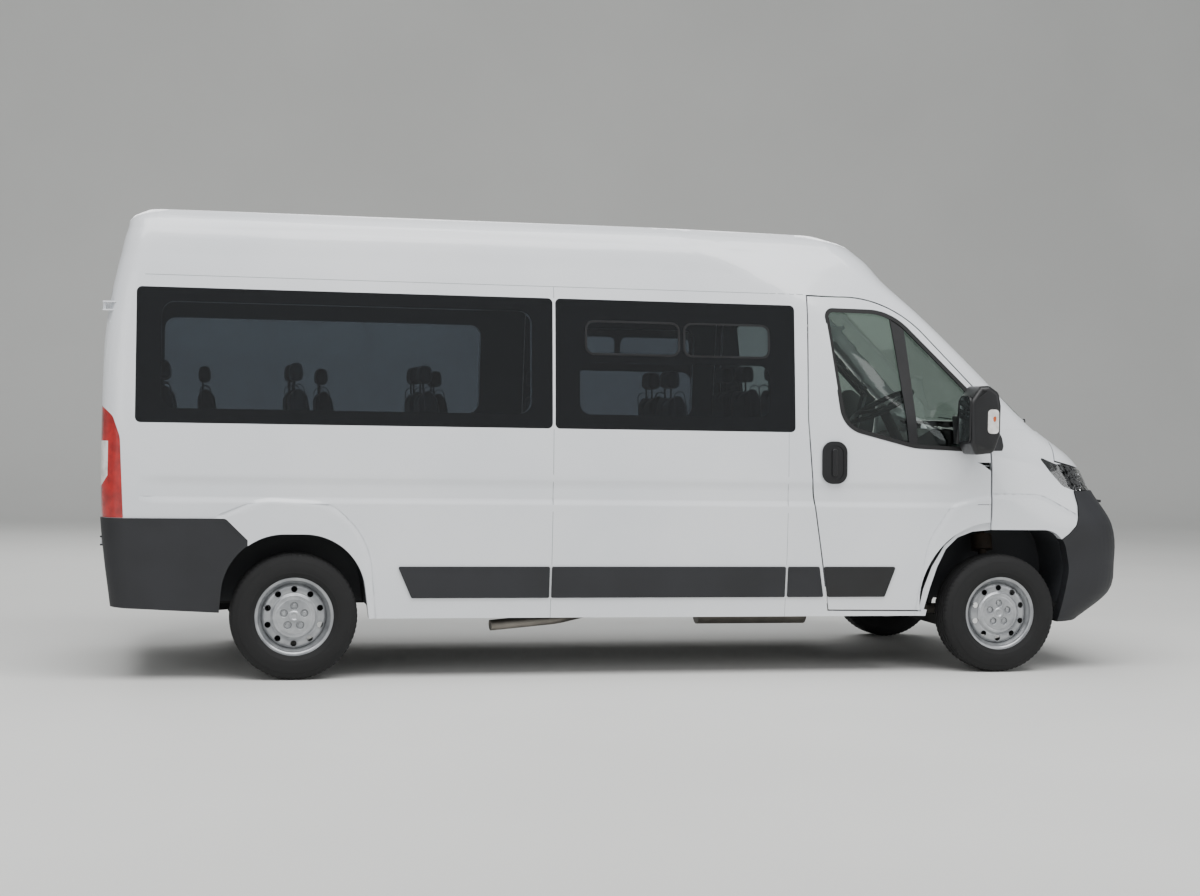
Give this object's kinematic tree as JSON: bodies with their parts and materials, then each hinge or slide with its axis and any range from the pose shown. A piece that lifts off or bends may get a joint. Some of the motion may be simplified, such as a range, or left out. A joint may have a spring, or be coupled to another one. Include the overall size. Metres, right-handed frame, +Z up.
{
  "type": "high-roof minibus",
  "caption": "High-roof long-wheelbase minibus: hollow glazed body with seats, opening front and rear doors and bonnet, steered front wheels and free-turning wheels.",
  "frame": {"origin": "on the ground, at mid length on the centre plane", "axes": "+X forward along the vehicle, +Y to its left, +Z up"},
  "size_m": [5.9983, 2.508, 2.524],
  "materials": {
    "white_paint": "gloss",
    "dark_plastic": "grained",
    "black_plastic": "satin",
    "privacy_glass": "dark tint",
    "clear_glass": "green tint",
    "lamp_lens": "clear",
    "red_lens": "gloss",
    "silver_paint": "satin",
    "tyre": "matt",
    "chassis_black": "matt",
    "bare_iron": "cast",
    "exhaust_steel": "dull",
    "seat_fabric": "woven",
    "dash_plastic": "grained"
  },
  "bodies": {
    "root": {"side_panel_right": "white_paint", "side_panel_left": "white_paint", "roof_panel": "white_paint", "windscreen_frame": "white_paint", "front_wings": "white_paint", "sliding_door": "white_paint", "front_bumper": "dark_plastic", "rear_bumper": "dark_plastic", "side_mouldings": "dark_plastic", "grille": "black_plastic", "cowl_panel": "black_plastic", "side_glass_right": "privacy_glass", "side_glass_left": "privacy_glass", "sliding_door_glass": "privacy_glass", "windscreen": "clear_glass", "headlamps": "lamp_lens", "tail_lamps": "red_lens", "spare_wheel": "tyre", "floor_pan": "chassis_black", "fuel_tank": "chassis_black", "rear_axle": "chassis_black", "front_suspension": "chassis_black", "seat_frames": "chassis_black", "engine": "bare_iron", "exhaust": "exhaust_steel", "passenger_seats": "seat_fabric", "cab_seats": "seat_fabric", "dashboard": "dash_plastic", "steering_wheel": "dash_plastic"},
    "front_door_right": {"front_door_right": "white_paint", "front_door_glass_right": "clear_glass", "door_trim_right": "black_plastic", "door_mirror_right": "black_plastic"},
    "front_door_left": {"front_door_left": "white_paint", "front_door_glass_left": "clear_glass", "door_trim_left": "black_plastic", "door_mirror_left": "black_plastic"},
    "rear_door_right": {"rear_door_right": "white_paint", "rear_door_glass_right": "privacy_glass"},
    "rear_door_left": {"rear_door_left": "white_paint", "rear_door_glass_left": "privacy_glass"},
    "bonnet": {"bonnet": "white_paint"},
    "knuckle_right": {"knuckle_right": "bare_iron"},
    "knuckle_left": {"knuckle_left": "bare_iron"},
    "wheel_front_right": {"tyre_front_right": "tyre", "rim_front_right": "silver_paint"},
    "wheel_front_left": {"tyre_front_left": "tyre", "rim_front_left": "silver_paint"},
    "wheel_rear_right": {"tyre_rear_right": "tyre", "rim_rear_right": "silver_paint"},
    "wheel_rear_left": {"tyre_rear_left": "tyre", "rim_rear_left": "silver_paint"}
  },
  "joints": [
    {"name": "front_door_right_hinge", "type": "hinge", "parent": "root", "child": "front_door_right", "pos_m": [1.921, -1.01, 1.05], "axis": [0, 0, 1], "range_deg": [0, 70]},
    {"name": "front_door_left_hinge", "type": "hinge", "parent": "root", "child": "front_door_left", "pos_m": [1.921, 1.01, 1.05], "axis": [0, 0, -1], "range_deg": [0, 70]},
    {"name": "rear_door_right_hinge", "type": "hinge", "parent": "root", "child": "rear_door_right", "pos_m": [-2.988, -0.876, 1.36], "axis": [0, 0, 1], "range_deg": [0, 90]},
    {"name": "rear_door_left_hinge", "type": "hinge", "parent": "root", "child": "rear_door_left", "pos_m": [-2.988, 0.876, 1.36], "axis": [0, 0, -1], "range_deg": [0, 90]},
    {"name": "bonnet_hinge", "type": "hinge", "parent": "root", "child": "bonnet", "pos_m": [2.262, 0, 1.372], "axis": [0, -1, 0], "range_deg": [0, 30]},
    {"name": "steer_right", "type": "hinge", "parent": "root", "child": "knuckle_right", "pos_m": [2.051, -0.84, 0.24], "axis": [0, 0.2562, 0.9666], "range_deg": [-35, 35]},
    {"name": "steer_left", "type": "hinge", "parent": "root", "child": "knuckle_left", "pos_m": [2.051, 0.84, 0.24], "axis": [0, -0.2562, 0.9666], "range_deg": [-35, 35]},
    {"name": "spin_front_right", "type": "hinge", "parent": "knuckle_right", "child": "wheel_front_right", "pos_m": [2.051, -0.905, 0.341], "axis": [0, 1, 0], "continuous": true},
    {"name": "spin_front_left", "type": "hinge", "parent": "knuckle_left", "child": "wheel_front_left", "pos_m": [2.051, 0.905, 0.341], "axis": [0, 1, 0], "continuous": true},
    {"name": "spin_rear_right", "type": "hinge", "parent": "root", "child": "wheel_rear_right", "pos_m": [-1.984, -0.895, 0.341], "axis": [0, 1, 0], "continuous": true},
    {"name": "spin_rear_left", "type": "hinge", "parent": "root", "child": "wheel_rear_left", "pos_m": [-1.984, 0.895, 0.341], "axis": [0, 1, 0], "continuous": true}
  ],
  "couplings": [
    {"joint": "steer_left", "follows": "steer_right", "ratio": 1}
  ]
}
